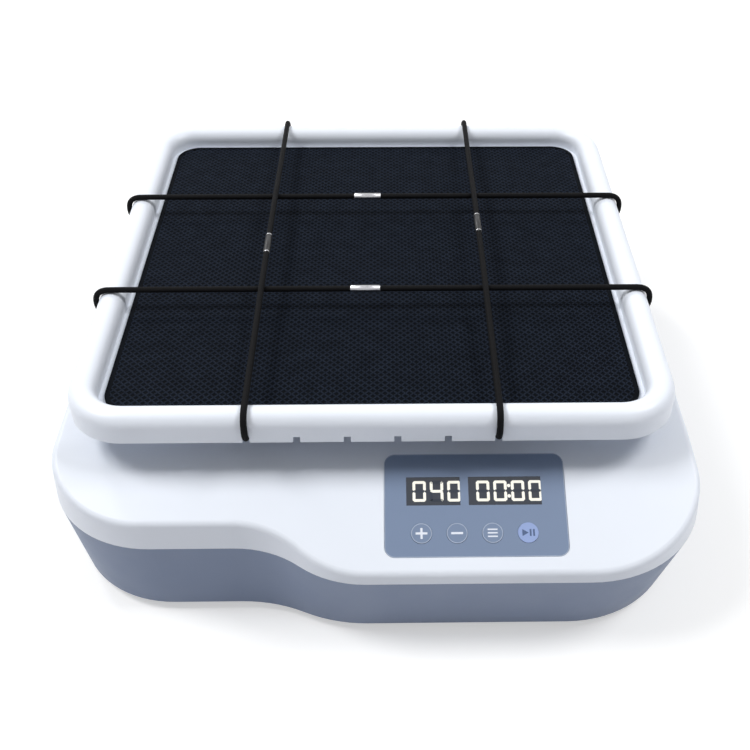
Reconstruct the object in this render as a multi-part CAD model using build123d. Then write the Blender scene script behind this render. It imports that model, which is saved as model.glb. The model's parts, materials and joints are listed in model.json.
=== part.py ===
from build123d import *
import math
import os

# An orbital shaker: a square tray on a carrier that five cranks swing round in a circle.
# Lengths are in millimetres and angles in degrees. z = 0 is the table. The functions work from the
# drive axis at x = 0, y = 0, with the user at -Y, and the platform's own functions from the tray's
# centre. save() shifts each piece so that the origin lies under the middle of the footprint.

os.makedirs("parts", exist_ok=True)

# Housing outline at the parting line between tub and cover
body_half_width = 146.0
body_front = 140.0        # from the drive axis to the straight front
body_back = 145.0         # from the drive axis to the back, beyond the tray's swing
nose_step = 20.0          # the control nose stands this far in front of the body
s_start = -60.0           # where the front's S-curve leaves the straight left part
s_width = 57.0
corner_radius = 50.0
nose_corner_radius = 55.0
back_corner_radius = 45.0

# The tub leans in towards the table, and the cover leans in towards its top
tub_side_lean = 6.0
tub_front_lean = 1.0
tub_nose_lean = 8.5
cover_side_lean = 7.0
cover_front_lean = 0.5
cover_corner_loss = 16.0  # the corners are this much tighter at the cover's top

# Heights above the table
foot_gap = 4.0
parting_height = 43.0
cover_height = 72.0
rim_height = 100.0

# Housing walls
wall = 2.5
floor_thickness = 3.0
tub_chamfer = 1.2
cover_edge_radius = 3.0
slope_start = 110.0       # the sloped front begins this far in front of the drive axis
slope_angle = 24.66
slope_bend_radius = 60.0
lip_height = 2.0
lip_depth = 3.0
lip_inset = 1.9
lip_thickness = 1.2
lip_clearance = 0.1
rib_thickness = 1.8
rib_height = 7.0
rib_lines_across = (-98.0, -40.0, 40.0)
rib_lines_along = (-62.0, 62.0)

# Feet
foot_radius = 11.0
foot_sink = 2.0
foot_chamfer = 1.0
foot_pad_height = 9.0
foot_screw_seat = 3.0      # height of the screw head's seat above the table
foot_places = ((-92.0, -88.0), (96.0, -100.0), (92.0, 90.0), (-92.0, 90.0))

# Screws: head radius, head height, shank radius
screw_m3 = (2.8, 2.0, 1.5)
screw_m4 = (3.8, 2.4, 2.0)
screw_flat = (3.8, 1.0, 2.0)
screw_gap = 0.05          # round a shank in its thread, and round a part in its seat
screw_play = 0.3          # round a shank in a clearance hole
boss_wall = 2.6

# Screws that close the housing, from below
closing_places = ((-120.0, -110.0), (117.0, -124.0), (-131.0, 0.0), (131.0, 0.0), (-117.0, 113.0), (117.0, 113.0))
closing_head_depth = 8.0
closing_length = 44.0

# Orbit drive
orbit_radius = 10.0
idler_spacing_x = 170.0
idler_spacing_y = 152.0
bearing_gap = 0.03        # round a shaft or pin that turns in a bearing
seat_gap = 0.02           # round a bearing in its housing

# Chassis plate
chassis_width = 224.0
chassis_depth = 206.0
chassis_shift = 4.0       # the plate lies this much further back than the drive axis
chassis_corner = 14.0
chassis_thickness = 2.5
chassis_height = 32.0     # underside of the plate
chassis_screw_places = (
    (-103.0, -42.0), (-103.0, 42.0), (103.0, -42.0), (103.0, 42.0),
    (-44.0, -91.0), (44.0, -91.0), (-44.0, 99.0), (44.0, 99.0),
)
chassis_screw_length = 12.0

# Ball bearings: outer radius, bore radius, width
large_bearing = (14.0, 6.0, 8.0)
small_bearing = (11.0, 4.0, 7.0)
bearing_lip = 2.0         # housing lip that holds a bearing's outer ring
bearing_spacer = 6.0      # between the two bearings of one housing
bearing_shield_depth = 0.4
bearing_race = 1.8
housing_wall = 3.5
flange_thickness = 3.5
flange_rim = 7.0
housing_rise = 1.2        # bearing housings stand this far above the chassis plate

# Pulleys and belt
crank_pulley_radius = 46.0
motor_pulley_radius = 9.0
pulley_flange = 2.0
pulley_flange_thickness = 1.0
belt_width = 5.4
belt_thickness = 1.5
belt_gap = 0.3
crank_hub_radius = 14.0
pulley_hole_radius = 6.5
pulley_hole_circle = 36.0
pulley_holes = 8

# Drive crank
crank_web_radius = 30.0
crank_web_thickness = 5.0
shoulder_rise = 0.7
shoulder_rim = 2.2        # crank shoulders are this much wider than their shaft
counterweight_inner = 17.0
counterweight_outer = 44.0
counterweight_angle = 130.0
counterweight_thickness = 4.5
crank_screw_circle = 23.0
crank_screw_length = 9.0

# Idler cranks
idler_web_half_width = 9.0
idler_web_height = 44.5   # underside of the web
idler_web_thickness = 5.5

# Motor
motor_y = 82.0
motor_size = 42.0
motor_height = 23.0
motor_corner = 5.0
motor_cap = 6.0
motor_pilot_radius = 11.0
motor_screw_spacing = 31.0
motor_shaft_radius = 2.5
motor_shaft_sink = 16.0
motor_screw_length = 7.0
motor_hub_height = 5.0
set_screw_radius = 1.5

# Carrier plate, relative to the tray's centre
carrier_height = 62.0     # underside of the plate
carrier_thickness = 3.0
carrier_width = 216.0
carrier_depth = 196.0
carrier_corner = 20.0
carrier_window_long = 60.0
carrier_window_short = 50.0
carrier_window_corner = 10.0
carrier_window_shift = 61.0
cup_screw_length = 5.5

# Posts that carry the tray
post_radius = 7.0
post_spacing_x = 132.0
post_spacing_y = 117.0
post_hole_play = 2.5      # cover holes clear the posts by this much at the orbit's limit
collar_height = 3.0
collar_wall = 2.0
post_screw_length = 11.0
tray_screw_length = 12.0

# Tray
tray_side = 260.0
tray_corner = 26.0
tray_skirt_height = 86.5  # lower edge of the skirt above the table
rim_width = 12.0
rim_crown = 5.9
tray_floor_height = 88.4  # underside of the floor above the table
tray_floor = 1.6
tray_wall = 2.5
tray_crown_extra = 1.5    # the crown is this much thicker than the walls
tray_boss_radius = 10.0
tray_boss_height = 84.5   # lower end of the bosses above the table
tray_rib_pitch = 39.0
tray_rib_thickness = 1.5
mat_side = 231.0
mat_corner = 12.2
mat_thickness = 1.0

# Elastic cords
cord_radius = 1.4
cord_gap = 0.05
cord_fold_radius = 2.45
cord_floor_gap = 0.15
notch_width = 3.0
notch_height = 3.0
notch_pitch = 21.0
notches_front = 6
notches_side = 5
cord_x = 2.5 * notch_pitch
cord_y = 2.0 * notch_pitch
cord_crossing_rise = 2.95
cord_crossing_radius = 60.0
crimp_radius = 2.1
crimp_length = 14.0
crimp_shift = -4.0
crimp_left_y = 2.0
crimp_right_y = 20.0

# Control panel, placed on the sloped front
panel_x = 43.1
panel_y = -132.7
panel_width = 77.0
panel_height = 45.4
panel_corner = 4.5
panel_thickness = 1.0
panel_recess = 1.2
panel_gap = 0.15
window_y = 6.0
window_height = 12.6
speed_window_x = -17.7
speed_window_width = 22.9
time_window_x = 12.8
time_window_width = 31.0
window_thickness = 0.8
module_height = 14.0
speed_module_width = 22.5
time_module_width = 30.1
module_depth = 1.5        # display modules begin this far below the slope
button_y = -12.5
button_first_x = -23.0
button_pitch = 14.9
button_radius = 4.35
button_play = 0.1
button_rise = 0.2
button_flange = 0.6
button_travel = 0.5
button_stem_radius = 1.5
board_depth = 9.0         # top of the control board below the slope
board_thickness = 1.6
board_width = 72.0
board_height = 38.0
board_screw_inset = 3.5
board_screw_length = 5.0
key_size = 6.0
key_height = 3.5
key_floor = 1.0

# Rear panel: power switch and inlet
rear_height = 24.0
switch_x = -62.0
switch_width = 21.0
switch_height = 15.0
switch_bezel = 1.2
switch_corner = 1.5
switch_body_width = 18.6
switch_body_height = 12.6
switch_body_depth = 15.0
rocker_width = 14.0
rocker_height = 9.4
rocker_gap = 0.5
rocker_rise = 0.9         # the level rocker's ends stand this far out of the wall
rocker_dish = 0.6         # its middle is this much lower than its ends
rocker_pin_radius = 1.0
rocker_pin_depth = 1.0
rocker_pin_drop = 1.0     # the pivot lies this far inside the wall's outer face
rocker_tilt = 8.0
inlet_x = -86.0
inlet_flange_radius = 7.0
inlet_flange = 1.5
inlet_body_radius = 5.5
inlet_depth = 13.0
inlet_bore_radius = 2.8
inlet_bore_depth = 10.0
inlet_pin_radius = 1.0
inlet_nut_radius = 8.0
inlet_nut_thickness = 2.5

# Values that follow from the ones above
row_shift_y = (body_front + nose_step - body_back) / 2
tray_shift = Pos(0, orbit_radius, 0)
chassis_top = chassis_height + chassis_thickness
housing_top = chassis_top + housing_rise
cavity_floor = foot_gap + floor_thickness
pulley_bottom = housing_top + 1.8
pulley_width = belt_width + 2 * belt_gap + 2 * pulley_flange_thickness
web_bottom = pulley_bottom + pulley_width
web_top = web_bottom + crank_web_thickness
tray_floor_top = tray_floor_height + tray_floor
tray_screw_seat = tray_floor_top - screw_flat[1]
idler_web_top = idler_web_height + idler_web_thickness
idler_places = [
    (side_x * idler_spacing_x / 2, side_y * idler_spacing_y / 2) for side_y in (-1, 1) for side_x in (-1, 1)
]
idler_names = ("front_left", "front_right", "rear_left", "rear_right")
post_places = [
    (side_x * post_spacing_x / 2, side_y * post_spacing_y / 2) for side_y in (-1, 1) for side_x in (-1, 1)
]
button_names = ("plus", "minus", "mode", "start")
button_places = [button_first_x + index * button_pitch for index in range(4)]

parting_plan = dict(
    side=body_half_width,
    back=body_back,
    front=-body_front,
    nose=-body_front - nose_step,
    corner=corner_radius,
    nose_corner=nose_corner_radius,
    back_corner=back_corner_radius,
)
foot_plan = dict(
    side=body_half_width - tub_side_lean,
    back=body_back - tub_side_lean,
    front=-body_front + tub_front_lean,
    nose=-body_front - nose_step + tub_nose_lean,
    corner=corner_radius,
    nose_corner=nose_corner_radius,
    back_corner=back_corner_radius,
)
top_plan = dict(
    side=body_half_width - cover_side_lean,
    back=body_back - cover_side_lean,
    front=-body_front + cover_front_lean,
    nose=-body_front - nose_step + cover_front_lean,
    corner=corner_radius - cover_corner_loss,
    nose_corner=nose_corner_radius - cover_corner_loss,
    back_corner=back_corner_radius - cover_corner_loss,
)


def save(shape, name):
    """Write one piece, or a group of like pieces, as the STEP file of one node."""
    export_step(Pos(0, row_shift_y, 0) * shape, f"parts/{name}.step")


def group(shapes):
    """Several separate solids as one compound."""
    return Compound([solid for shape in shapes for solid in shape.solids()])


def disc(radius, low, high, x=0.0, y=0.0):
    """Upright cylinder between two heights."""
    return Pos(x, y, low) * extrude(Circle(radius), amount=high - low)


def ring(outer, inner, low, high, x=0.0, y=0.0):
    """Upright tube between two heights."""
    return Pos(x, y, low) * extrude(Circle(outer) - Circle(inner), amount=high - low)


def slab(width, depth, low, high, corner=0.0, x=0.0, y=0.0):
    """Upright block between two heights, with round corners where a radius is given."""
    outline = RectangleRounded(width, depth, corner) if corner else Rectangle(width, depth)
    return Pos(x, y, low) * extrude(outline, amount=high - low)


def screw(kind, length):
    """Cap screw: its head stands on z = 0 and its shank reaches down."""
    head_radius, head_height, shank_radius = kind
    return disc(head_radius, 0, head_height) + disc(shank_radius, -length, 0)


def on_circle(radius, angles, x=0.0, y=0.0):
    """Places on a circle, one for each angle."""
    return [
        (x + radius * math.cos(math.radians(angle)), y + radius * math.sin(math.radians(angle)))
        for angle in angles
    ]


def blend(low_plan, high_plan, share):
    """Outline sizes between two levels of the housing."""
    return {key: low_plan[key] + (high_plan[key] - low_plan[key]) * share for key in low_plan}


def plan_face(height, plan, inset=0.0):
    """Housing outline seen from above: four round corners, and a front with an S-curve of two arcs."""
    side, back, front, nose = plan["side"], plan["back"], plan["front"], plan["nose"]
    step = front - nose
    s_radius = (s_width**2 + step**2) / (4 * step)
    s_turn = math.degrees(math.asin(s_width / (2 * s_radius)))
    s_end = s_start + s_width
    corner, nose_corner, back_corner = plan["corner"], plan["nose_corner"], plan["back_corner"]
    arcs = [
        CenterArc((-side + corner, front + corner), corner - inset, 180, 90),
        CenterArc((s_start, front - s_radius), s_radius + inset, 90, -s_turn),
        CenterArc((s_end, nose + s_radius), s_radius - inset, 270 - s_turn, s_turn),
        CenterArc((side - nose_corner, nose + nose_corner), nose_corner - inset, 270, 90),
        CenterArc((side - back_corner, back - back_corner), back_corner - inset, 0, 90),
        CenterArc((-side + back_corner, back - back_corner), back_corner - inset, 90, 90),
    ]
    edges = []
    for index, arc in enumerate(arcs):
        following = arcs[(index + 1) % len(arcs)]
        edges.append(arc)
        if (arc @ 1 - following @ 0).length > 1e-6:
            edges.append(Line(arc @ 1, following @ 0))
    return Pos(0, 0, height) * Face(Wire(edges))


def tub_plan(height):
    """Outline sizes of the tub's outer wall at one height."""
    return blend(foot_plan, parting_plan, (height - foot_gap) / (parting_height - foot_gap))


def cover_plan(height):
    """Outline sizes of the cover's outer wall at one height."""
    return blend(parting_plan, top_plan, (height - parting_height) / (cover_height - parting_height))


def between(plan, low, high, inset=0.0):
    """Solid between two heights whose side follows the plan function."""
    return loft([plan_face(low, plan(low), inset), plan_face(high, plan(high), inset)], ruled=True)


def under_roof(drop):
    """Everything below the cover's flat top and sloped front, both lowered by one drop."""
    angle = math.radians(slope_angle)
    crease = -slope_start + drop * math.tan(angle / 2)
    level = cover_height - drop
    reach = body_front + body_back
    roof = FilletPolyline(
        (reach, level),
        (crease, level),
        (crease - reach, level - reach * math.tan(angle)),
        radius=slope_bend_radius - drop,
    )
    ground = -reach
    sides = Polyline(roof @ 1, (crease - reach, ground), (reach, ground), roof @ 0)
    return extrude(Plane.YZ * make_face([roof, sides]), amount=reach, both=True)


def slope_height(y):
    """Height of the sloped front above the table."""
    return cover_height + (y + slope_start) * math.tan(math.radians(slope_angle))


panel_plane = Plane(
    origin=(panel_x, panel_y, slope_height(panel_y)),
    x_dir=(1, 0, 0),
    z_dir=(0, -math.sin(math.radians(slope_angle)), math.cos(math.radians(slope_angle))),
)
rear_plane = Plane(
    origin=(0, tub_plan(rear_height)["back"], rear_height),
    x_dir=(-1, 0, 0),
    z_dir=(0, parting_height - foot_gap, -tub_side_lean),
)


def on_panel(shape):
    """Place a shape drawn with its z axis out of the sloped front."""
    return panel_plane * shape


def on_rear(shape):
    """Place a shape drawn with its z axis out of the rear wall."""
    return rear_plane * shape


def make_bottom_housing():
    """Blue tub: leaning walls, floor with ribs and screw columns, lip, foot pads and rear cut-outs."""
    head_radius, head_height, shank_radius = screw_m3
    foot_section = plan_face(foot_gap, foot_plan, tub_chamfer)
    chamfer_section = plan_face(foot_gap + tub_chamfer, tub_plan(foot_gap + tub_chamfer))
    outer = loft([foot_section, chamfer_section], ruled=True)
    outer += between(tub_plan, foot_gap + tub_chamfer, parting_height)
    cavity = between(tub_plan, cavity_floor, parting_height, wall)
    tub = outer - cavity

    lip_low, lip_high = parting_height - lip_depth, parting_height + lip_height
    lip_outline = plan_face(lip_low, parting_plan, lip_inset)
    lip_hole = plan_face(lip_low, parting_plan, lip_inset + lip_thickness)
    lip = extrude(lip_outline - lip_hole, amount=lip_high - lip_low)
    tub += lip - (between(tub_plan, foot_gap + tub_chamfer, parting_height) - cavity)

    fittings = []
    for y in rib_lines_across:
        fittings.append(slab(2 * body_half_width, rib_thickness, cavity_floor, cavity_floor + rib_height, y=y))
    for x in rib_lines_along:
        fittings.append(slab(rib_thickness, 2 * body_back, cavity_floor, cavity_floor + rib_height, x=x))
    for x, y in foot_places:
        fittings.append(disc(foot_radius + boss_wall, cavity_floor, foot_gap + foot_pad_height, x, y))
    column_radius = head_radius + screw_play + boss_wall / 2
    for x, y in closing_places:
        fittings.append(disc(column_radius, cavity_floor, parting_height, x, y))
    for x, y in chassis_screw_places:
        fittings.append(disc(screw_m4[2] + boss_wall, cavity_floor, chassis_height, x, y))
    for fitting in fittings:
        tub += fitting & cavity

    for x, y in foot_places:
        tub -= disc(foot_radius + seat_gap, foot_gap, foot_gap + foot_sink, x, y)
        tub -= disc(screw_m4[2] + screw_gap, foot_gap, foot_gap + foot_pad_height, x, y)
    for x, y in closing_places:
        tub -= disc(head_radius + screw_play, foot_gap, foot_gap + closing_head_depth, x, y)
        tub -= disc(shank_radius + screw_play, foot_gap, parting_height, x, y)
    for x, y in chassis_screw_places:
        tub -= disc(screw_m4[2] + screw_gap, chassis_height - chassis_screw_length, chassis_height, x, y)

    switch_hole = slab(
        switch_body_width + 2 * screw_gap, switch_body_height + 2 * screw_gap, -2 * wall, wall, x=-switch_x
    )
    inlet_hole = disc(inlet_body_radius + screw_gap, -2 * wall, wall, x=-inlet_x)
    return tub - on_rear(switch_hole) - on_rear(inlet_hole)


def make_top_cover():
    """White cover: flat top, sloped nose with the panel recess, post holes with collars, screw bosses."""
    outer = between(cover_plan, parting_height, cover_height + 1) & under_roof(0)
    roof_edges = [
        edge
        for edge in outer.edges()
        if edge.center().Z > parting_height + 1 and not edge_is_upright(edge) and not edge_is_crease(edge)
    ]
    outer = fillet(roof_edges, cover_edge_radius)
    inside = between(cover_plan, parting_height, cover_height + 1, wall) & under_roof(wall)
    cover = outer - inside

    boss_radius = screw_m3[2] + boss_wall
    for x, y in closing_places:
        cover += disc(boss_radius, parting_height, cover_height, x, y) & inside
    for x, y in board_screw_places():
        cover += on_panel(disc(screw_m3[2] + boss_wall / 2, -board_depth, 0, x, y)) & inside
    groove_outline = plan_face(parting_height, parting_plan, lip_inset - lip_clearance)
    cover -= extrude(groove_outline, amount=lip_height + lip_clearance) - disc_fill(boss_radius)

    hole_radius = post_radius + orbit_radius + post_hole_play
    for x, y in post_places:
        cover += ring(hole_radius + collar_wall, hole_radius, cover_height, cover_height + collar_height, x, y)
        cover -= disc(hole_radius, cover_height - 2 * wall, cover_height + collar_height, x, y)
    for x, y in closing_places:
        depth = closing_length + foot_gap + closing_head_depth
        cover -= disc(screw_m3[2] + screw_gap, parting_height, depth, x, y)
    for x, y in board_screw_places():
        cover -= on_panel(disc(screw_m3[2] + screw_gap, -board_depth, board_screw_length - board_depth, x, y))

    recess_width, recess_height = panel_width + 2 * panel_gap, panel_height + 2 * panel_gap
    cover -= on_panel(slab(recess_width, recess_height, -panel_recess, wall, panel_corner + panel_gap))
    for x, width in ((speed_window_x, speed_window_width), (time_window_x, time_window_width)):
        cover -= on_panel(slab(width, module_height + 2 * screw_play, -2 * wall, 0, x=x, y=window_y))
    for x in button_places:
        cover -= on_panel(disc(button_radius + 2 * button_flange, -2 * wall, 0, x, button_y))
    return cover


def edge_is_upright(edge):
    """True for the corner edges that run up the cover's side."""
    low, high = edge @ 0, edge @ 1
    return abs(high.Z - low.Z) > 0.9 * (high - low).length


def edge_is_crease(edge):
    """True for the two seams of the bend between the flat top and the slope."""
    low, high = edge @ 0, edge @ 1
    return abs(high.X - low.X) > body_half_width and abs(high.Y - low.Y) < 1 and low.Y > -slope_start - 30 and low.Y < 0


def disc_fill(radius):
    """Columns that the lip groove leaves standing round the closing screws."""
    return [disc(radius, parting_height, parting_height + 2 * lip_height, x, y) for x, y in closing_places]


def board_screw_places():
    """Corners of the control board where it is screwed to the cover."""
    half_x = board_width / 2 - board_screw_inset
    half_y = board_height / 2 - board_screw_inset
    return [(side_x * half_x, side_y * half_y) for side_x in (-1, 1) for side_y in (-1, 1)]


def bearing(kind, low, x, y):
    """Shielded ball bearing as one ring, with its shields set back from both faces."""
    outer, bore, width = kind
    race = ring(outer, bore, low, low + width, x, y)
    shield_outer, shield_inner = outer - bearing_race, bore + bearing_race
    for level in (low, low + width):
        race -= ring(shield_outer, shield_inner, level - bearing_shield_depth, level + bearing_shield_depth, x, y)
    return race


def housing_bearing_levels(kind):
    """Lower faces of the two bearings in one chassis housing."""
    width = kind[2]
    upper = housing_top - width
    return upper - bearing_spacer - width, upper


def bearing_housing(kind, x, y):
    """Turned housing under the chassis plate: flange, barrel, and seats for two bearings."""
    outer, bore, width = kind
    lower, upper = housing_bearing_levels(kind)
    barrel = outer + housing_wall
    housing = disc(barrel, lower - bearing_lip, housing_top, x, y)
    housing += disc(barrel + flange_rim, chassis_height - flange_thickness, chassis_height, x, y)
    housing -= disc(outer - bearing_lip, lower - bearing_lip, housing_top, x, y)
    for level in (lower, upper):
        housing -= disc(outer + seat_gap, level, level + width, x, y)
    for screw_x, screw_y in flange_places(kind, x, y):
        housing -= disc(screw_m3[2] + screw_gap, chassis_height - flange_thickness, chassis_height, screw_x, screw_y)
    return housing


def flange_places(kind, x, y):
    """Three screws round a bearing flange, turned so that none faces the plate's near edge."""
    first = -90 if y > 0 else 90
    return on_circle(kind[0] + housing_wall + flange_rim / 2, [first + 120 * turn for turn in range(3)], x, y)


def crank_sites():
    """The five crank axes on the chassis: bearing kind, x and y."""
    return [(large_bearing, 0.0, 0.0)] + [(small_bearing, x, y) for x, y in idler_places]


def make_chassis_plate():
    """Steel plate that carries the bearings and the motor."""
    low, high = chassis_height, chassis_top
    plate = slab(chassis_width, chassis_depth, low, high, chassis_corner, y=chassis_shift)
    for kind, x, y in crank_sites():
        plate -= disc(kind[0] + housing_wall + screw_gap, low, high, x, y)
        for screw_x, screw_y in flange_places(kind, x, y):
            plate -= disc(screw_m3[2] + screw_play, low, high, screw_x, screw_y)
    for x, y in chassis_screw_places:
        plate -= disc(screw_m4[2] + screw_play, low, high, x, y)
    plate -= disc(motor_pilot_radius + screw_gap, low, high, 0, motor_y)
    for x, y in motor_screw_places():
        plate -= disc(screw_m3[2] + screw_play, low, high, x, y)
    for side in (-1, 1):
        for slot_x, slot_y, slot_width, slot_depth in ((62.0, 0.0, 26.0, 84.0), (0.0, -62.0, 66.0, 30.0)):
            if slot_x or side > 0:
                plate -= slab(slot_width, slot_depth, low, high, chassis_corner / 2, side * slot_x, slot_y)
    return plate


def motor_screw_places():
    """Corners of the motor's screw square."""
    half = motor_screw_spacing / 2
    return [(side_x * half, motor_y + side_y * half) for side_x in (-1, 1) for side_y in (-1, 1)]


def make_motor_body():
    """Flat square motor: two end caps, a smaller laminated middle, a pilot and the rotor's bore."""
    low, high = chassis_height - motor_height, chassis_height
    motor = slab(motor_size - 1, motor_size - 1, low, high, motor_corner, y=motor_y)
    for cap_low in (low, high - motor_cap):
        motor += slab(motor_size, motor_size, cap_low, cap_low + motor_cap, motor_corner, y=motor_y)
    motor += disc(motor_pilot_radius, high, high + chassis_thickness / 2, 0, motor_y)
    motor -= disc(motor_shaft_radius + bearing_gap, high - motor_shaft_sink, high + chassis_thickness, 0, motor_y)
    for x, y in motor_screw_places():
        motor -= disc(screw_m3[2] + screw_gap, high - motor_screw_length, high, x, y)
    return motor


def flanged_pulley(radius, x, y):
    """Flat belt pulley with a flange on each side."""
    low, high = pulley_bottom, pulley_bottom + pulley_width
    pulley = disc(radius, low, high, x, y)
    for flange_low in (low, high - pulley_flange_thickness):
        pulley += disc(radius + pulley_flange, flange_low, flange_low + pulley_flange_thickness, x, y)
    return pulley


def make_crank_pulley():
    """Large pulley on the drive crank's hub, with lightening holes."""
    low, high = pulley_bottom, pulley_bottom + pulley_width
    pulley = flanged_pulley(crank_pulley_radius, 0, 0) - disc(crank_hub_radius + seat_gap, low, high)
    for x, y in on_circle(pulley_hole_circle, [turn * 360 / pulley_holes for turn in range(pulley_holes)]):
        pulley -= disc(pulley_hole_radius, low, high, x, y)
    for x, y in crank_screw_places():
        pulley -= disc(screw_m3[2] + screw_gap, high + crank_web_thickness - crank_screw_length, high, x, y)
    return pulley


def crank_screw_places():
    """Two screws each side of the pin, and two through the counterweight."""
    return on_circle(crank_screw_circle, (20, 160, 250, 290))


def make_drive_crank():
    """Shaft, collar, pulley hub and web in one piece, with the eccentric pin that carries the tray."""
    bore = large_bearing[1]
    lower, upper = housing_bearing_levels(large_bearing)
    crank = disc(bore - bearing_gap, lower - bearing_lip / 2, pulley_bottom)
    crank += disc(bore + shoulder_rim, housing_top + seat_gap, pulley_bottom)
    crank += disc(crank_hub_radius, pulley_bottom, web_bottom)
    crank += disc(crank_web_radius, web_bottom, web_top)
    crank += disc(bore + shoulder_rim, web_top, web_top + shoulder_rise, 0, orbit_radius)
    crank += disc(bore - bearing_gap, web_top, carrier_height - shoulder_rise, 0, orbit_radius)
    for x, y in crank_screw_places():
        crank -= disc(screw_m3[2] + screw_play, web_bottom, web_top, x, y)
    return crank


def make_counterweight():
    """Part ring of steel opposite the eccentric pin."""
    low, high = web_top, web_top + counterweight_thickness
    half = counterweight_angle / 2
    sector = Polyline(
        (0, 0),
        *on_circle(2 * counterweight_outer, (270 - half, 270, 270 + half)),
        close=True,
    )
    weight = ring(counterweight_outer, counterweight_inner, low, high)
    weight &= Pos(0, 0, low) * extrude(make_face(sector), amount=high - low)
    for x, y in crank_screw_places()[2:]:
        weight -= disc(screw_m3[2] + screw_play, low, high, x, y)
    return weight


def make_crank_screws():
    """Screws that hold the pulley and the counterweight to the web."""
    seats = (web_top, web_top, web_top + counterweight_thickness, web_top + counterweight_thickness)
    return group(
        Pos(x, y, seat) * screw(screw_m3, crank_screw_length + seat - web_top)
        for (x, y), seat in zip(crank_screw_places(), seats)
    )


def make_idler_crank(x, y):
    """Small crank that keeps the tray from turning: shaft, link-shaped web and pin."""
    bore = small_bearing[1]
    lower, upper = housing_bearing_levels(small_bearing)
    web = make_hull(
        (Circle(idler_web_half_width) + Pos(0, orbit_radius) * Circle(idler_web_half_width)).edges()
    )
    crank = disc(bore - bearing_gap, lower - bearing_lip / 2, idler_web_height)
    crank += disc(bore + shoulder_rim, housing_top + seat_gap, idler_web_height)
    crank += Pos(0, 0, idler_web_height) * extrude(web, amount=idler_web_thickness)
    crank += disc(bore + shoulder_rim, idler_web_top, idler_web_top + shoulder_rise, 0, orbit_radius)
    crank += disc(bore - bearing_gap, idler_web_top, carrier_height - shoulder_rise, 0, orbit_radius)
    return Pos(x, y, 0) * crank


def make_motor_pulley():
    """Small pulley with a hub above it for the set screw."""
    top = pulley_bottom + pulley_width
    pulley = flanged_pulley(motor_pulley_radius, 0, motor_y)
    pulley += disc(motor_pulley_radius - pulley_flange, top, top + motor_hub_height, 0, motor_y)
    pulley -= disc(motor_shaft_radius + seat_gap, pulley_bottom, top + motor_hub_height, 0, motor_y)
    return pulley - set_screw(screw_gap)


def set_screw(gap=0.0):
    """Headless screw through the motor pulley's hub, or its hole when a gap is given."""
    level = pulley_bottom + pulley_width + motor_hub_height / 2
    axis = Plane(origin=(0, motor_y + motor_shaft_radius + seat_gap, level), z_dir=(0, 1, 0))
    reach = motor_pulley_radius - pulley_flange - motor_shaft_radius - seat_gap
    return axis * extrude(Circle(set_screw_radius + gap), amount=reach)


def belt_loop(thickness):
    """Area inside the belt's path round both pulleys, grown by a thickness."""
    large = Circle(crank_pulley_radius + belt_gap + thickness)
    small = Pos(0, motor_y) * Circle(motor_pulley_radius + belt_gap + thickness)
    return make_hull((large + small).edges())


def make_drive_belt():
    """Flat belt between the pulleys' flanges."""
    low = pulley_bottom + pulley_flange_thickness + belt_gap
    return Pos(0, 0, low) * extrude(belt_loop(belt_thickness) - belt_loop(0), amount=belt_width)


def cup_sites():
    """The five bearing cups under the carrier: bearing kind, x, y and the bearing's lower face."""
    sites = [(large_bearing, 0.0, 0.0, web_top + shoulder_rise + seat_gap)]
    low = idler_web_top + shoulder_rise + seat_gap
    return sites + [(small_bearing, x, y, low) for x, y in idler_places]


def bearing_cup(kind, x, y, low):
    """Turned cup under the carrier plate, open below for its bearing."""
    outer, bore, width = kind
    cup = disc(outer + housing_wall, low, carrier_height, x, y)
    cup += disc(outer + housing_wall + flange_rim, carrier_height - flange_thickness, carrier_height, x, y)
    cup -= disc(outer + seat_gap, low, low + width, x, y)
    cup -= disc(outer - bearing_lip, low, carrier_height, x, y)
    for screw_x, screw_y in flange_places(kind, x, y):
        cup -= disc(screw_m3[2] + screw_gap, carrier_height - flange_thickness, carrier_height, screw_x, screw_y)
    return cup


def make_carrier_plate():
    """Plate that the cranks carry round, with four windows to save weight."""
    low, high = carrier_height, carrier_height + carrier_thickness
    plate = slab(carrier_width, carrier_depth, low, high, carrier_corner)
    for side in (-1, 1):
        shift = side * carrier_window_shift
        plate -= slab(carrier_window_long, carrier_window_short, low, high, carrier_window_corner, y=shift)
        plate -= slab(carrier_window_short, carrier_window_long, low, high, carrier_window_corner, x=shift)
    for kind, x, y, level in cup_sites():
        for screw_x, screw_y in flange_places(kind, x, y):
            plate -= disc(screw_m3[2] + screw_play, low, high, screw_x, screw_y)
    for x, y in post_places:
        plate -= disc(screw_m4[2] + screw_play, low, high, x, y)
    return plate


def make_post(x, y):
    """Round post with a tapped hole in each end."""
    low, high = carrier_height + carrier_thickness, tray_boss_height
    post = disc(post_radius, low, high, x, y)
    post -= disc(screw_m4[2] + screw_gap, low, carrier_height + post_screw_length, x, y)
    return post - disc(screw_m4[2] + screw_gap, tray_screw_seat - tray_screw_length, high, x, y)


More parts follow.
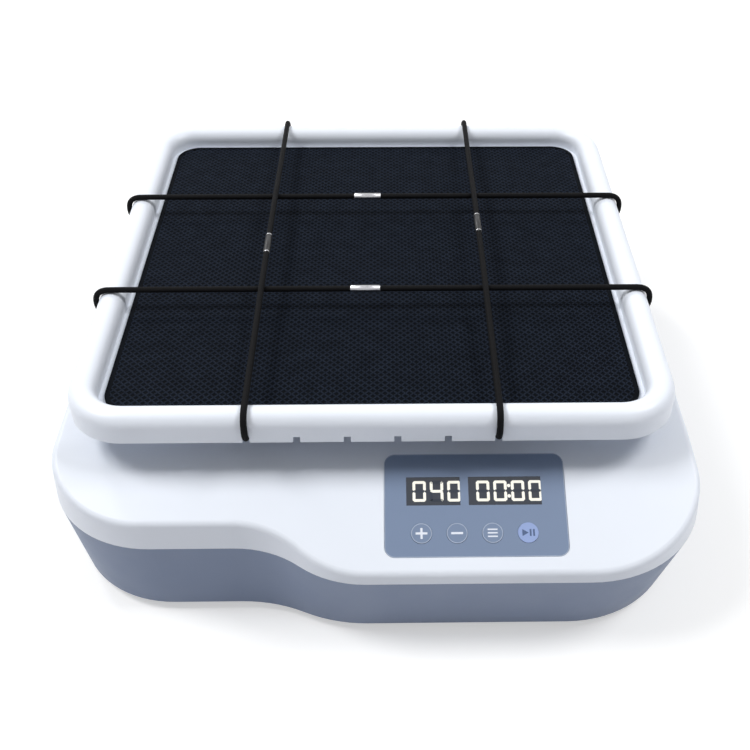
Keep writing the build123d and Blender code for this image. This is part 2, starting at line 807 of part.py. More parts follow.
def make_tray():
    """Moulded tray: rim with a round crown, hollow below, ribbed floor, bosses and cord notches."""
    recess_side, recess_corner = tray_side - 2 * rim_width, tray_corner - rim_width
    tray = slab(tray_side, tray_side, tray_skirt_height, rim_height, tray_corner)
    tray -= slab(recess_side, recess_side, tray_floor_top, rim_height, recess_corner)
    tray = fillet(tray.faces().sort_by(Axis.Z)[-1].edges(), rim_crown)

    channel_outer, channel_inner = tray_side - 2 * tray_wall, recess_side + 2 * tray_wall
    channel_top = rim_height - tray_wall - tray_crown_extra
    channel = slab(channel_outer, channel_outer, tray_skirt_height, channel_top, tray_corner - tray_wall)
    channel -= slab(channel_inner, channel_inner, tray_skirt_height, channel_top, recess_corner + tray_wall)
    hollow = slab(recess_side, recess_side, tray_skirt_height, tray_floor_height, recess_corner)
    tray -= channel
    tray -= hollow - make_tray_ribs()

    for x, y in post_places:
        tray += disc(tray_boss_radius, tray_boss_height, tray_floor_height, x, y)
        tray -= disc(screw_flat[2] + screw_play, tray_boss_height, tray_floor_top, x, y)
        tray -= disc(screw_flat[0] + screw_gap, tray_screw_seat, tray_floor_top, x, y)

    wall_middle = tray_side / 2 - tray_wall / 2
    inner_middle = recess_side / 2 + tray_wall / 2
    reach = 2 * tray_wall
    notch_top = tray_skirt_height + notch_height
    for side in (-1, 1):
        for index in range(notches_front):
            x = (index - (notches_front - 1) / 2) * notch_pitch
            tray -= slab(notch_width, reach, tray_skirt_height, notch_top, x=x, y=side * wall_middle)
            tray -= slab(notch_width, reach, tray_skirt_height, tray_floor_height, x=x, y=side * inner_middle)
        for index in range(notches_side):
            y = (index - (notches_side - 1) / 2) * notch_pitch
            tray -= slab(reach, notch_width, tray_skirt_height, notch_top, x=side * wall_middle, y=y)
            tray -= slab(reach, notch_width, tray_skirt_height, tray_floor_height, x=side * inner_middle, y=y)
    return tray


def make_tray_ribs():
    """Grid of ribs under the tray's floor, open along the cords' lines."""
    span = tray_side - 2 * rim_width
    count = int(span / tray_rib_pitch)
    lines = [(index - (count - 1) / 2) * tray_rib_pitch for index in range(count)]
    low, high = tray_skirt_height, tray_floor_height
    ribs = slab(span, tray_rib_thickness, low, high, y=lines[0])
    for line in lines[1:]:
        ribs += slab(span, tray_rib_thickness, low, high, y=line)
    for line in lines:
        ribs += slab(tray_rib_thickness, span, low, high, x=line)
    for side in (-1, 1):
        ribs -= slab(notch_width, span, low, high, x=side * cord_x)
        ribs -= slab(span, notch_width, low, high, y=side * cord_y)
    return ribs


def cord_loop(crossing, crossing_rise):
    """Closed path of one cord, drawn across the tray in a plane with z up.

    It runs straight over the tray, round the rim, through the notches and back under the floor.
    Where it crosses the other pair it stands off by the crossing rise.
    """
    edge = tray_side / 2 + cord_gap + cord_radius
    top = rim_height + cord_gap + cord_radius
    low = tray_floor_height - cord_floor_gap - cord_radius
    crown, fold = rim_crown + cord_gap + cord_radius, cord_fold_radius
    if not crossing_rise:
        points = [(-edge, top), (edge, top), (edge, low), (-edge, low)]
        radii = [crown, crown, fold, fold]
    else:
        points = [
            (-edge, top), (-crossing, top + crossing_rise), (crossing, top + crossing_rise), (edge, top),
            (edge, low), (crossing, low - crossing_rise), (-crossing, low - crossing_rise), (-edge, low),
        ]
        bend = cord_crossing_radius
        radii = [crown, bend, bend, crown, fold, bend, bend, fold]
    return FilletPolyline(*points, radius=radii, close=True)


def cord(path, plane):
    """Round elastic cord along a closed path."""
    route = plane * path
    section = Plane(origin=route @ 0, z_dir=route % 0) * Circle(cord_radius)
    return sweep(section, path=route)


def make_front_to_back_cord(side):
    """Cord over the tray from front to back. It crosses above the other pair."""
    plane = Plane(origin=(side * cord_x, 0, 0), x_dir=(0, 1, 0), z_dir=(1, 0, 0))
    return cord(cord_loop(cord_y, cord_crossing_rise), plane)


def make_side_to_side_cord(side):
    """Cord over the tray from left to right."""
    plane = Plane(origin=(0, side * cord_y, 0), x_dir=(1, 0, 0), z_dir=(0, -1, 0))
    return cord(cord_loop(cord_x, 0), plane)


def make_crimps():
    """Sleeves that join each cord's ends."""
    level = rim_height + cord_gap + cord_radius
    sleeve = extrude(Circle(crimp_radius) - Circle(cord_radius + seat_gap), amount=crimp_length / 2, both=True)
    crimps = [Pos(crimp_shift, side * cord_y, level) * Rot(0, 90, 0) * sleeve for side in (-1, 1)]
    for x, y in ((-cord_x, crimp_left_y), (cord_x, crimp_right_y)):
        crimps.append(Pos(x, y, level + cord_crossing_rise) * Rot(90, 0, 0) * sleeve)
    return group(crimps)


def make_control_panel():
    """Overlay sheet with cut-outs for the windows and the buttons."""
    low, high = -panel_recess, panel_thickness - panel_recess
    panel = slab(panel_width, panel_height, low, high, panel_corner)
    for x, width in display_openings():
        panel -= slab(width, window_height, low, high, x=x, y=window_y)
    for x in button_places:
        panel -= disc(button_radius + button_play, low, high, x, button_y)
    return on_panel(panel)


def display_openings():
    """The two display windows: middle and width."""
    return (speed_window_x, speed_window_width), (time_window_x, time_window_width)


def make_display_windows():
    """Smoked windows that fill the overlay's cut-outs."""
    return on_panel(
        group(
            slab(width, window_height, -panel_recess, window_thickness - panel_recess, x=x, y=window_y)
            for x, width in display_openings()
        )
    )


def make_display(x, width):
    """Seven-segment module on the control board, behind its window."""
    return on_panel(slab(width, module_height, -board_depth, -module_depth, x=x, y=window_y))


def make_control_board():
    """Circuit board under the slope."""
    low = -board_depth - board_thickness
    board = slab(board_width, board_height, low, -board_depth)
    for x, y in board_screw_places():
        board -= disc(screw_m3[2] + screw_play, low, -board_depth, x, y)
    return on_panel(board)


def make_key_switches():
    """Key switches on the board, one under each button."""
    top = key_height - board_depth
    return on_panel(
        group(
            slab(key_size, key_size, -board_depth, top, x=x, y=button_y)
            - disc(button_stem_radius + button_play, -board_depth + key_floor, top, x, button_y)
            for x in button_places
        )
    )


def make_button(x):
    """Round button: cap in the overlay's hole, flange behind it and a stem into its key switch."""
    cap_top = panel_thickness - panel_recess + button_rise
    flange_top = -panel_recess - seat_gap
    stem_end = -board_depth + key_floor + button_travel + button_play
    button = disc(button_radius, flange_top - button_flange, cap_top, x, button_y)
    button += disc(button_radius + button_flange, flange_top - button_flange, flange_top, x, button_y)
    return on_panel(button + disc(button_stem_radius, stem_end, flange_top, x, button_y))


def make_switch_housing():
    """Rear power switch: bezel, body through the wall, and the pocket that the rocker turns in."""
    switch = slab(switch_width, switch_height, 0, switch_bezel, switch_corner)
    switch += slab(switch_body_width, switch_body_height, -switch_body_depth, 0)
    pocket_width, pocket_height = rocker_width + 2 * rocker_gap, rocker_height + 2 * rocker_gap
    switch -= slab(pocket_width, pocket_height, -switch_body_depth / 2, switch_bezel)
    return on_rear(Pos(-switch_x, 0, 0) * (switch - rocker_pins(seat_gap)))


def rocker_pins(gap=0.0):
    """Pivot pin of the rocker, or its holes when a gap is given."""
    half = rocker_height / 2 + rocker_gap + rocker_pin_depth + gap
    return Pos(0, 0, -rocker_pin_drop) * Rot(90, 0, 0) * extrude(Circle(rocker_pin_radius + gap), half, both=True)


def make_rocker():
    """Rocker with a dished face, tilted to its off side."""
    half, low = rocker_width / 2, -rocker_pin_drop - 2 * rocker_pin_radius
    profile = Polyline(
        (-half, low), (half, low), (half, rocker_rise), (0, rocker_rise - rocker_dish), (-half, rocker_rise), close=True
    )
    rocker = extrude(Plane.XZ * make_face(profile), amount=rocker_height / 2, both=True) + rocker_pins()
    pivot = Pos(0, 0, -rocker_pin_drop)
    return on_rear(Pos(-switch_x, 0, 0) * pivot * Rot(0, rocker_tilt, 0) * pivot.inverse() * rocker)


def make_power_inlet():
    """Round low-voltage inlet with its centre pin."""
    inlet = disc(inlet_flange_radius, 0, inlet_flange) + disc(inlet_body_radius, -inlet_depth, 0)
    inlet -= disc(inlet_bore_radius, inlet_flange - inlet_bore_depth, inlet_flange)
    inlet += disc(inlet_pin_radius, inlet_flange - inlet_bore_depth, 0)
    return on_rear(Pos(-inlet_x, 0, 0) * inlet)


def make_inlet_nut():
    """Nut on the inlet's body, against the inside of the rear wall."""
    lean = math.atan2(tub_side_lean, parting_height - foot_gap)
    back = -wall * math.cos(lean)
    outline = RegularPolygon(inlet_nut_radius, 6) - Circle(inlet_body_radius + seat_gap)
    return on_rear(Pos(-inlet_x, 0, back - inlet_nut_thickness) * extrude(outline, amount=inlet_nut_thickness))


def make_rubber_foot(x, y):
    """Round foot with a chamfered edge and a deep seat for its screw's head."""
    foot = disc(foot_radius, 0, foot_gap + foot_sink)
    foot = chamfer(foot.edges().group_by(Axis.Z)[0], foot_chamfer)
    foot -= disc(screw_m4[0] + screw_play, 0, foot_screw_seat)
    foot -= disc(screw_m4[2] + screw_gap, 0, foot_gap + foot_sink)
    return Pos(x, y, 0) * foot


def screws_up(kind, length, places, level):
    """Screws driven from below, with their heads under one level."""
    return group(Pos(x, y, level) * Rot(180, 0, 0) * screw(kind, length) for x, y in places)


def screws_down(kind, length, places, level):
    """Screws driven from above, with their heads on one level."""
    return group(Pos(x, y, level) * screw(kind, length) for x, y in places)


def save_base():
    """Everything that stands still."""
    save(make_bottom_housing(), "bottom_housing")
    save(make_top_cover(), "top_cover")
    save(group(make_rubber_foot(x, y) for x, y in foot_places), "rubber_feet")
    foot_screw_length = foot_gap + foot_pad_height - foot_screw_seat - 1
    save(screws_up(screw_m4, foot_screw_length, foot_places, foot_screw_seat), "foot_screws")
    closing_level = foot_gap + closing_head_depth
    save(screws_up(screw_m3, closing_length, closing_places, closing_level), "housing_screws")
    save(make_chassis_plate(), "chassis_plate")
    chassis_reach = chassis_screw_length + chassis_thickness
    save(screws_down(screw_m4, chassis_reach, chassis_screw_places, chassis_top), "chassis_screws")
    save(bearing_housing(*crank_sites()[0]), "main_bearing_housing")
    save(group(bearing_housing(*site) for site in crank_sites()[1:]), "idler_bearing_housings")
    for name, sites in (("main_bearings", crank_sites()[:1]), ("idler_bearings", crank_sites()[1:])):
        bearings = [bearing(kind, low, x, y) for kind, x, y in sites for low in housing_bearing_levels(kind)]
        save(group(bearings), name)
    flange_reach = flange_thickness + chassis_thickness
    places = [place for site in crank_sites() for place in flange_places(*site)]
    save(screws_down(screw_m3, flange_reach, places, chassis_top), "bearing_housing_screws")
    save(make_motor_body(), "motor_body")
    motor_reach = motor_screw_length + chassis_thickness
    save(screws_down(screw_m3, motor_reach, motor_screw_places(), chassis_top), "motor_screws")
    save(make_drive_belt(), "drive_belt")
    save(make_control_panel(), "control_panel")
    save(make_display_windows(), "display_windows")
    save(make_display(speed_window_x, speed_module_width), "speed_display")
    save(make_display(time_window_x, time_module_width), "time_display")
    save(make_control_board(), "control_board")
    board_reach = board_thickness + board_screw_length
    board_under = -board_depth - board_thickness
    save(on_panel(screws_up(screw_m3, board_reach, board_screw_places(), board_under)), "board_screws")
    save(make_key_switches(), "key_switches")
    save(make_switch_housing(), "power_switch_housing")
    save(make_power_inlet(), "power_inlet")
    save(make_inlet_nut(), "inlet_nut")


def save_moving():
    """Cranks, rotor, buttons and rocker."""
    save(make_drive_crank(), "drive_crank")
    save(make_crank_pulley(), "crank_pulley")
    save(make_counterweight(), "counterweight")
    save(make_crank_screws(), "crank_screws")
    for name, place in zip(idler_names, idler_places):
        save(make_idler_crank(*place), f"{name}_idler_crank")
    shaft_low = chassis_height - motor_shaft_sink + shoulder_rise
    shaft_high = pulley_bottom + pulley_width + motor_hub_height
    save(disc(motor_shaft_radius, shaft_low, shaft_high, 0, motor_y), "motor_shaft")
    save(make_motor_pulley(), "motor_pulley")
    save(set_screw(), "pulley_set_screw")
    for name, x in zip(button_names, button_places):
        save(make_button(x), f"{name}_button")
    save(make_rocker(), "power_rocker")


def save_platform():
    """Everything that the cranks carry round, drawn about the tray's centre."""
    pieces = {
        "carrier_plate": make_carrier_plate(),
        "carrier_bearing_cups": group(bearing_cup(*site) for site in cup_sites()),
        "carrier_bearings": group(bearing(kind, low, x, y) for kind, x, y, low in cup_sites()),
        "carrier_screws": screws_down(
            screw_m3,
            flange_thickness + carrier_thickness,
            [place for kind, x, y, low in cup_sites() for place in flange_places(kind, x, y)],
            carrier_height + carrier_thickness,
        ),
        "platform_posts": group(make_post(x, y) for x, y in post_places),
        "post_screws": screws_up(screw_m4, post_screw_length, post_places, carrier_height),
        "platform_tray": make_tray(),
        "tray_screws": screws_down(screw_flat, tray_screw_length, post_places, tray_screw_seat),
        "anti_slip_mat": slab(mat_side, mat_side, tray_floor_top, tray_floor_top + mat_thickness, mat_corner),
        "left_cord": make_front_to_back_cord(-1),
        "right_cord": make_front_to_back_cord(1),
        "front_cord": make_side_to_side_cord(-1),
        "rear_cord": make_side_to_side_cord(1),
        "cord_crimps": make_crimps(),
    }
    for name, shape in pieces.items():
        save(tray_shift * shape, name)


save_base()
save_moving()
save_platform()
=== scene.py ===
import json
import math

import bmesh
import bpy
from mathutils import Matrix, Vector


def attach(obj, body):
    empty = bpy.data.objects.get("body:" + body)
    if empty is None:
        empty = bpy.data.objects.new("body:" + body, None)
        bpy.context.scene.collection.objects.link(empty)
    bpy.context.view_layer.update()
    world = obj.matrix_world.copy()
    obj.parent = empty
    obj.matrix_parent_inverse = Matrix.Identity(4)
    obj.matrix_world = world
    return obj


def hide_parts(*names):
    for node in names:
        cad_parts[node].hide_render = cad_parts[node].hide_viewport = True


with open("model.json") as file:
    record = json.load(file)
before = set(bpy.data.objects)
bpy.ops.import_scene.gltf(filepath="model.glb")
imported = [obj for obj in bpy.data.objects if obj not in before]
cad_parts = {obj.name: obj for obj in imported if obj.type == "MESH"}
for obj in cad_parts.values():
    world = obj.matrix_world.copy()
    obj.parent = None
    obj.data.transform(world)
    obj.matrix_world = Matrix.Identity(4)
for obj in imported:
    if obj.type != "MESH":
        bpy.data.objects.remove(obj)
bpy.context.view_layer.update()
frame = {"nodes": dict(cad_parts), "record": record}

# Lengths are in millimetres unless a comment says otherwise.
MM = 0.001
TRAY_Y = 17.5                   # the tray's centre at rest
COVER_TOP = 72.0
SLOPE = math.radians(24.66)     # of the control nose
X_AXIS, Y_AXIS, Z_AXIS = Vector((1, 0, 0)), Vector((0, 1, 0)), Vector((0, 0, 1))


# Camera

CAMERA_PLACE = (7.6, -420.8, 386.3)
CAMERA_RIGHT = (0.9999, -0.0153, 0.0039)
CAMERA_UP = (0.0069, 0.6495, 0.7603)
CAMERA_AHEAD = (0.0141, 0.7602, -0.6496)
LENS, SENSOR, LENS_SHIFT = 49.51, 36.0, -0.04
NEAREST, FARTHEST = 0.01, 30.0  # metres


def add_camera():
    """Camera from the photograph's perspective, worked out from the tray and the display windows."""
    data = bpy.data.cameras.new("camera")
    data.lens, data.sensor_width, data.shift_x = LENS, SENSOR, LENS_SHIFT
    data.clip_start, data.clip_end = NEAREST, FARTHEST
    camera = bpy.data.objects.new("camera", data)
    axes = Matrix((Vector(CAMERA_RIGHT), Vector(CAMERA_UP), -Vector(CAMERA_AHEAD))).transposed()
    camera.matrix_world = Matrix.Translation(Vector(CAMERA_PLACE) * MM) @ axes.to_4x4()
    bpy.context.scene.collection.objects.link(camera)
    bpy.context.scene.camera = camera


add_camera()


# Materials

# Most of a noise texture's values lie between these two.
NOISE_LOW, NOISE_HIGH = 0.3, 0.7
BRAID_ANGLE = math.radians(38)  # how far the strands' waves are turned from the cord
BRAID_SCALE = 0.55              # of the strands' wave texture: 0.57 mm from strand to strand


def linear(*rgb):
    """Linear colour of an 8-bit display colour."""
    values = [v / 255 for v in rgb]
    return tuple(v / 12.92 if v <= 0.04045 else ((v + 0.055) / 1.055) ** 2.4 for v in values) + (1.0,)


def shade(colour, factor):
    """The same colour, brighter or darker."""
    return tuple(min(1.0, v * factor) for v in colour[:3]) + (1.0,)


def ranged(tree, value, low, high, to_low, to_high):
    """Node that maps a value's range onto another."""
    node = tree.nodes.new("ShaderNodeMapRange")
    for key, number in zip(("From Min", "From Max", "To Min", "To Max"), (low, high, to_low, to_high)):
        node.inputs[key].default_value = number
    tree.links.new(value, node.inputs["Value"])
    return node.outputs["Result"]


def combined(tree, operation, first, second):
    """Node that combines two values."""
    node = tree.nodes.new("ShaderNodeMath")
    node.operation = operation
    for value, socket in zip((first, second), node.inputs):
        tree.links.new(value, socket)
    return node.outputs["Value"]


class Surface:
    """A small builder for node materials on the Principled shader."""

    def __init__(self, name, colour, roughness, **sockets):
        self.material = bpy.data.materials.new(name)
        self.material.use_nodes = True
        self.tree = self.material.node_tree
        self.shader = self.tree.nodes["Principled BSDF"]
        self.colour = colour
        self.shader.inputs["Base Color"].default_value = colour
        self.shader.inputs["Roughness"].default_value = roughness
        for key, value in sockets.items():
            self.shader.inputs[key.replace("_", " ")].default_value = value
        self.place = self.tree.nodes.new("ShaderNodeTexCoord").outputs["Object"]

    def link(self, source, target):
        self.tree.links.new(source, target)

    def noise(self, scale, detail=2.0, rough=0.5, stretch=None):
        """Noise over the object's own space, in features per metre."""
        node = self.tree.nodes.new("ShaderNodeTexNoise")
        node.inputs["Scale"].default_value = scale
        node.inputs["Detail"].default_value = detail
        node.inputs["Roughness"].default_value = rough
        source = self.place
        if stretch:
            mapping = self.tree.nodes.new("ShaderNodeMapping")
            mapping.inputs["Scale"].default_value = stretch
            self.link(source, mapping.inputs["Vector"])
            source = mapping.outputs["Vector"]
        self.link(source, node.inputs["Vector"])
        return node.outputs["Fac"]

    def spread(self, value, to_low=0, to_high=1, low=NOISE_LOW, high=NOISE_HIGH):
        """Map a noise onto the range that is wanted."""
        return ranged(self.tree, value, low, high, to_low, to_high)

    def mix(self, factor, first, second):
        """Colour that goes from the first to the second with the factor."""
        node = self.tree.nodes.new("ShaderNodeMix")
        node.data_type = "RGBA"
        node.inputs["A"].default_value = first
        node.inputs["B"].default_value = second
        self.link(factor, node.inputs["Factor"])
        return node.outputs["Result"]

    def vary_colour(self, factor, low, high):
        """Let the base colour drift between two brightnesses."""
        drift = self.mix(factor, shade(self.colour, low), shade(self.colour, high))
        self.link(drift, self.shader.inputs["Base Color"])

    def vary_roughness(self, factor):
        self.link(factor, self.shader.inputs["Roughness"])

    def bump(self, height, strength, distance):
        """Bump from a height value."""
        node = self.tree.nodes.new("ShaderNodeBump")
        node.inputs["Strength"].default_value = strength
        node.inputs["Distance"].default_value = distance * MM
        self.link(height, node.inputs["Height"])
        self.link(node.outputs["Normal"], self.shader.inputs["Normal"])


def moulded(name, colour, roughness, grain=2400, strength=0.25, **sockets):
    """Injection-moulded plastic: fine spark-eroded grain, faint flow and polish variation."""
    surface = Surface(name, colour, roughness, **sockets)
    flow = surface.noise(scale=9, detail=3)
    surface.vary_colour(surface.spread(flow), low=0.975, high=1.02)
    polish = surface.noise(scale=60, detail=4, rough=0.6)
    surface.vary_roughness(surface.spread(polish, roughness - 0.04, roughness + 0.05))
    surface.bump(surface.noise(grain, rough=0.6), strength, distance=0.03)
    return surface.material


def metal(name, colour, roughness, grain=(1, 1, 30), strength=0.15):
    """Worked metal with fine tool marks."""
    surface = Surface(name, colour, roughness, Metallic=1.0)
    marks = surface.noise(scale=900, detail=3, rough=0.6, stretch=grain)
    surface.vary_colour(surface.spread(surface.noise(scale=40)), low=0.94, high=1.03)
    surface.vary_roughness(surface.spread(marks, roughness - 0.05, roughness + 0.1))
    surface.bump(marks, strength, distance=0.01)
    return surface.material


def rubber(name, colour, roughness, grain=1800, shine=0.35):
    """Soft rubber or elastomer with a dry, slightly dusty skin."""
    surface = Surface(name, colour, roughness, Specular_IOR_Level=shine)
    dust = surface.noise(scale=120, detail=4, rough=0.65)
    surface.vary_colour(surface.spread(dust, low=0.35, high=0.75), low=0.85, high=1.35)
    wear = surface.noise(scale=500)
    surface.vary_roughness(surface.spread(wear, roughness - 0.05, roughness + 0.06))
    surface.bump(surface.noise(grain, rough=0.6), strength=0.3, distance=0.04)
    return surface.material


def film(name, colour):
    """Printed plastic film with a very fine matt grain."""
    return moulded(name, colour, 0.42, grain=3500, strength=0.15)


def ink_or_painted_highlight(name, colour, roughness=0.5):
    """Print, a thin plate or a painted highlight, almost without grain."""
    return moulded(name, colour, roughness, strength=0.05)


def braided(name, colour):
    """Elastic cord's woven sleeve: two sets of strands that cross along the cord."""
    surface = Surface(name, colour, 0.7, Specular_IOR_Level=0.1, Sheen_Weight=0.01, Sheen_Roughness=0.5)
    surface.shader.inputs["Sheen Tint"].default_value = (0.55, 0.58, 0.65, 1)
    uv = surface.tree.nodes.new("ShaderNodeUVMap")
    uv.uv_map = "UVMap"
    strands = []
    for way in (1, -1):
        mapping = surface.tree.nodes.new("ShaderNodeMapping")
        mapping.inputs["Rotation"].default_value = (0, 0, way * BRAID_ANGLE)
        surface.link(uv.outputs["UV"], mapping.inputs["Vector"])
        wave = surface.tree.nodes.new("ShaderNodeTexWave")
        wave.bands_direction = "X"
        wave.inputs["Scale"].default_value = BRAID_SCALE
        surface.link(mapping.outputs["Vector"], wave.inputs["Vector"])
        strands.append(wave.outputs["Fac"])
    weave = combined(surface.tree, "MULTIPLY", *strands)
    surface.vary_colour(weave, low=0.7, high=1.7)
    surface.bump(weave, strength=0.6, distance=0.12)
    return surface.material


def glowing(name, colour):
    """Lit display segment: a soft cream light that drifts a little."""
    surface = Surface(name, colour, 0.5)
    drift = surface.noise(scale=260)
    glow = surface.mix(drift, linear(238, 236, 222), linear(255, 253, 244))
    surface.link(glow, surface.shader.inputs["Emission Color"])
    surface.shader.inputs["Emission Strength"].default_value = 0.85
    surface.vary_colour(drift, low=0.2, high=0.3)
    return surface.material


materials = {
    "white_plastic": moulded("white_plastic", linear(238, 243, 252), 0.38),
    "blue_plastic": moulded("blue_plastic", linear(124, 138, 165), 0.46, strength=0.35),
    "panel_film": film("panel_film", linear(118, 135, 163)),
    "smoked_lens": moulded("smoked_lens", linear(32, 41, 56), 0.12, strength=0.02, Coat_Weight=0.5),
    "display_module": moulded("display_module", linear(22, 24, 28), 0.5),
    "button_blue": film("button_blue", linear(118, 135, 163)),
    "button_light": film("button_light", linear(148, 168, 214)),
    "black_plastic": moulded("black_plastic", linear(28, 28, 30), 0.42),
    "board_green": moulded("board_green", linear(24, 84, 48), 0.3),
    "motor_black": moulded("motor_black", linear(34, 34, 37), 0.4, Metallic=0.3),
    "mat_rubber": rubber("mat_rubber", linear(8, 11, 16), 0.6, shine=0.03),
    "foot_rubber": rubber("foot_rubber", linear(30, 30, 31), 0.7),
    "belt_rubber": rubber("belt_rubber", linear(24, 24, 25), 0.6),
    "steel": metal("steel", (0.62, 0.63, 0.65, 1), 0.34),
    "bright_steel": metal("bright_steel", (0.72, 0.72, 0.74, 1), 0.2),
    "crimp_metal": metal("crimp_metal", (0.5, 0.5, 0.52, 1), 0.26),
    "aluminium": metal("aluminium", (0.8, 0.81, 0.83, 1), 0.32),
    "cord_elastic": braided("cord_elastic", linear(9, 9, 11)),
    "lit_segment": glowing("lit_segment", linear(250, 248, 236)),
    # Ribs: the mat's rubber drawn lighter, a painted sheen where the ribs catch the light.
    "mat_rib_painted_sheen": rubber("mat_rib_painted_sheen", linear(30, 36, 47), 0.5, shine=0.03),
    "print_dark": ink_or_painted_highlight("print_dark", linear(72, 92, 130)),
    # Painted highlight along the panel overlay's edge.
    "painted_edge_highlight": ink_or_painted_highlight("painted_edge_highlight", linear(168, 180, 200)),
    "print_white": ink_or_painted_highlight("print_white", linear(232, 236, 246)),
    # Painted highlight: the lit edge of each key's raised ring.
    "painted_ring_highlight": ink_or_painted_highlight("painted_ring_highlight", linear(178, 190, 210)),
    "dark_segment": ink_or_painted_highlight("dark_segment", linear(37, 46, 61), 0.2),
}


def dress_nodes():
    """Give every CAD node the material of its slot."""
    slots = {entry["node"]: entry["material_slot"] for entry in frame["record"]["subparts"]}
    for name, node in frame["nodes"].items():
        node.data.materials.clear()
        node.data.materials.append(materials[slots[name]])


dress_nodes()


# Mesh helpers

def piece(name, mesh, body, material, smooth=True):
    """Add a mesh as a piece of the object that rides on a body."""
    data = bpy.data.meshes.new(name)
    if isinstance(mesh, bmesh.types.BMesh):
        mesh.to_mesh(data)
        mesh.free()
    else:
        data.from_pydata(*mesh)
    data.materials.append(materials[material])
    if smooth:
        data.shade_smooth()
    thing = bpy.data.objects.new(name, data)
    bpy.context.scene.collection.objects.link(thing)
    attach(thing, body)
    return thing


def circle(radius, x=0.0, y=0.0, count=48):
    """Points on a circle."""
    turns = [2 * math.pi * i / count for i in range(count)]
    return [(x + radius * math.cos(a), y + radius * math.sin(a)) for a in turns]


def bar(width, height, x=0.0, y=0.0, corner=0.12):
    """Upright or level bar with cut corners."""
    w, h, c = width / 2, height / 2, corner
    points = (
        (-w + c, -h), (w - c, -h), (w, -h + c), (w, h - c),
        (w - c, h), (-w + c, h), (-w, h - c), (-w, -h + c),
    )
    return [(x + px, y + py) for px, py in points]


def rounded(width, height, corner, count=10):
    """Rounded rectangle."""
    points = []
    for side_x, side_y, first in ((1, 1, 0), (-1, 1, 90), (-1, -1, 180), (1, -1, 270)):
        x, y = side_x * (width / 2 - corner), side_y * (height / 2 - corner)
        for step in range(count + 1):
            angle = math.radians(first + 90 * step / count)
            points.append((x + corner * math.cos(angle), y + corner * math.sin(angle)))
    return points


def prism(outlines, low, high):
    """Closed plates from outlines of (x, y) points, between two heights."""
    mesh = bmesh.new()
    for outline in outlines:
        bottom = [mesh.verts.new((x * MM, y * MM, low * MM)) for x, y in outline]
        top = [mesh.verts.new((x * MM, y * MM, high * MM)) for x, y in outline]
        mesh.faces.new(reversed(bottom))
        mesh.faces.new(top)
        for index in range(len(outline)):
            following = (index + 1) % len(outline)
            mesh.faces.new((bottom[index], bottom[following], top[following], top[index]))
    return mesh


def band(outer, inner, low, high):
    """Closed band between two outlines with as many points, between two heights."""
    mesh = bmesh.new()
    rings = [
        [mesh.verts.new((x * MM, y * MM, z * MM)) for x, y in line]
        for line, z in ((outer, low), (outer, high), (inner, high), (inner, low))
    ]
    for index in range(len(outer)):
        following = (index + 1) % len(outer)
        for side in range(4):
            first, second = rings[side], rings[(side + 1) % 4]
            mesh.faces.new((first[index], first[following], second[following], second[index]))
    bmesh.ops.recalc_face_normals(mesh, faces=mesh.faces)
    return mesh


# Panel: digits, signs and lines are flat pieces in the panel's own sloped plane

PANEL_X, PANEL_Y = 43.1, -125.2
PANEL_SETBACK = 22.7            # from the start of the slope to the panel's middle
PANEL = (
    Matrix.Translation(Vector((PANEL_X, PANEL_Y, COVER_TOP - PANEL_SETBACK * math.tan(SLOPE))) * MM)
    @ Matrix.Rotation(SLOPE, 4, "X")
)
# The overlay's light edge is a painted highlight.
EDGE_SIZE = (76.9, 45.3, 4.45)  # width, depth and corner of the light edge's outline
EDGE_WIDTH = 0.3
EDGE_HEIGHTS = (-0.22, -0.14)

LIT = {"0": "abcdef", "4": "bcfg"}
DIGITS = (("0", -23.6), ("4", -16.2), ("0", -8.8), ("0", 3.5), ("0", 10.9), ("0", 18.4), ("0", 25.8))
DIGIT_HEIGHT, DIGIT_WIDTH = 9.2, 5.7
SEGMENT_WIDTH, SEGMENT_GAP = 1.2, 0.1
SEGMENT_HEIGHTS = (-0.42, -0.36)
COLON_X, COLON_REACH, COLON_RADIUS = 14.6, 2.3, 0.75
WINDOW_Y = 6.0

BUTTONS = (("plus", -23.0), ("minus", -8.1), ("mode", 6.8), ("start", 21.7))
BUTTON_Y = -12.5
RING_RADIUS, RING_BORE = 4.3, 4.02
RING_HEIGHTS = (-0.02, 0.04)
SIGN_HEIGHTS = (-0.02, 0.05)
PLUS_WIDTH, PLUS_HEIGHT, PLUS_STROKE = 5.0, 4.75, 0.95
LINE_WIDTH, LINE_STROKE, LINE_SPACING = 4.2, 0.6, 1.5
PLAY_START, PLAY_TIP = -2.5, 0.1
PAUSE_PLACES = (0.95, 2.35)
PAUSE_STROKE, START_HEIGHT = 0.75, 3.0


def digit_segments():
    """The seven bars of one digit, as hexagons, keyed a to g."""
    half, t = DIGIT_HEIGHT / 2, SEGMENT_WIDTH / 2
    shapes = {}
    for key, y in (("a", DIGIT_HEIGHT - t), ("d", t), ("g", half)):
        low, high = SEGMENT_GAP + t, DIGIT_WIDTH - SEGMENT_GAP - t
        shapes[key] = [(low - t, y), (low, y + t), (high, y + t), (high + t, y), (high, y - t), (low, y - t)]
    for key, x, y in (("b", DIGIT_WIDTH - t, half), ("c", DIGIT_WIDTH - t, 0), ("e", t, 0), ("f", t, half)):
        low, high = y + SEGMENT_GAP + t, y + half - SEGMENT_GAP - t
        shapes[key] = [(x, low - t), (x + t, low), (x + t, high), (x, high + t), (x - t, high), (x - t, low)]
    return dict(sorted(shapes.items()))


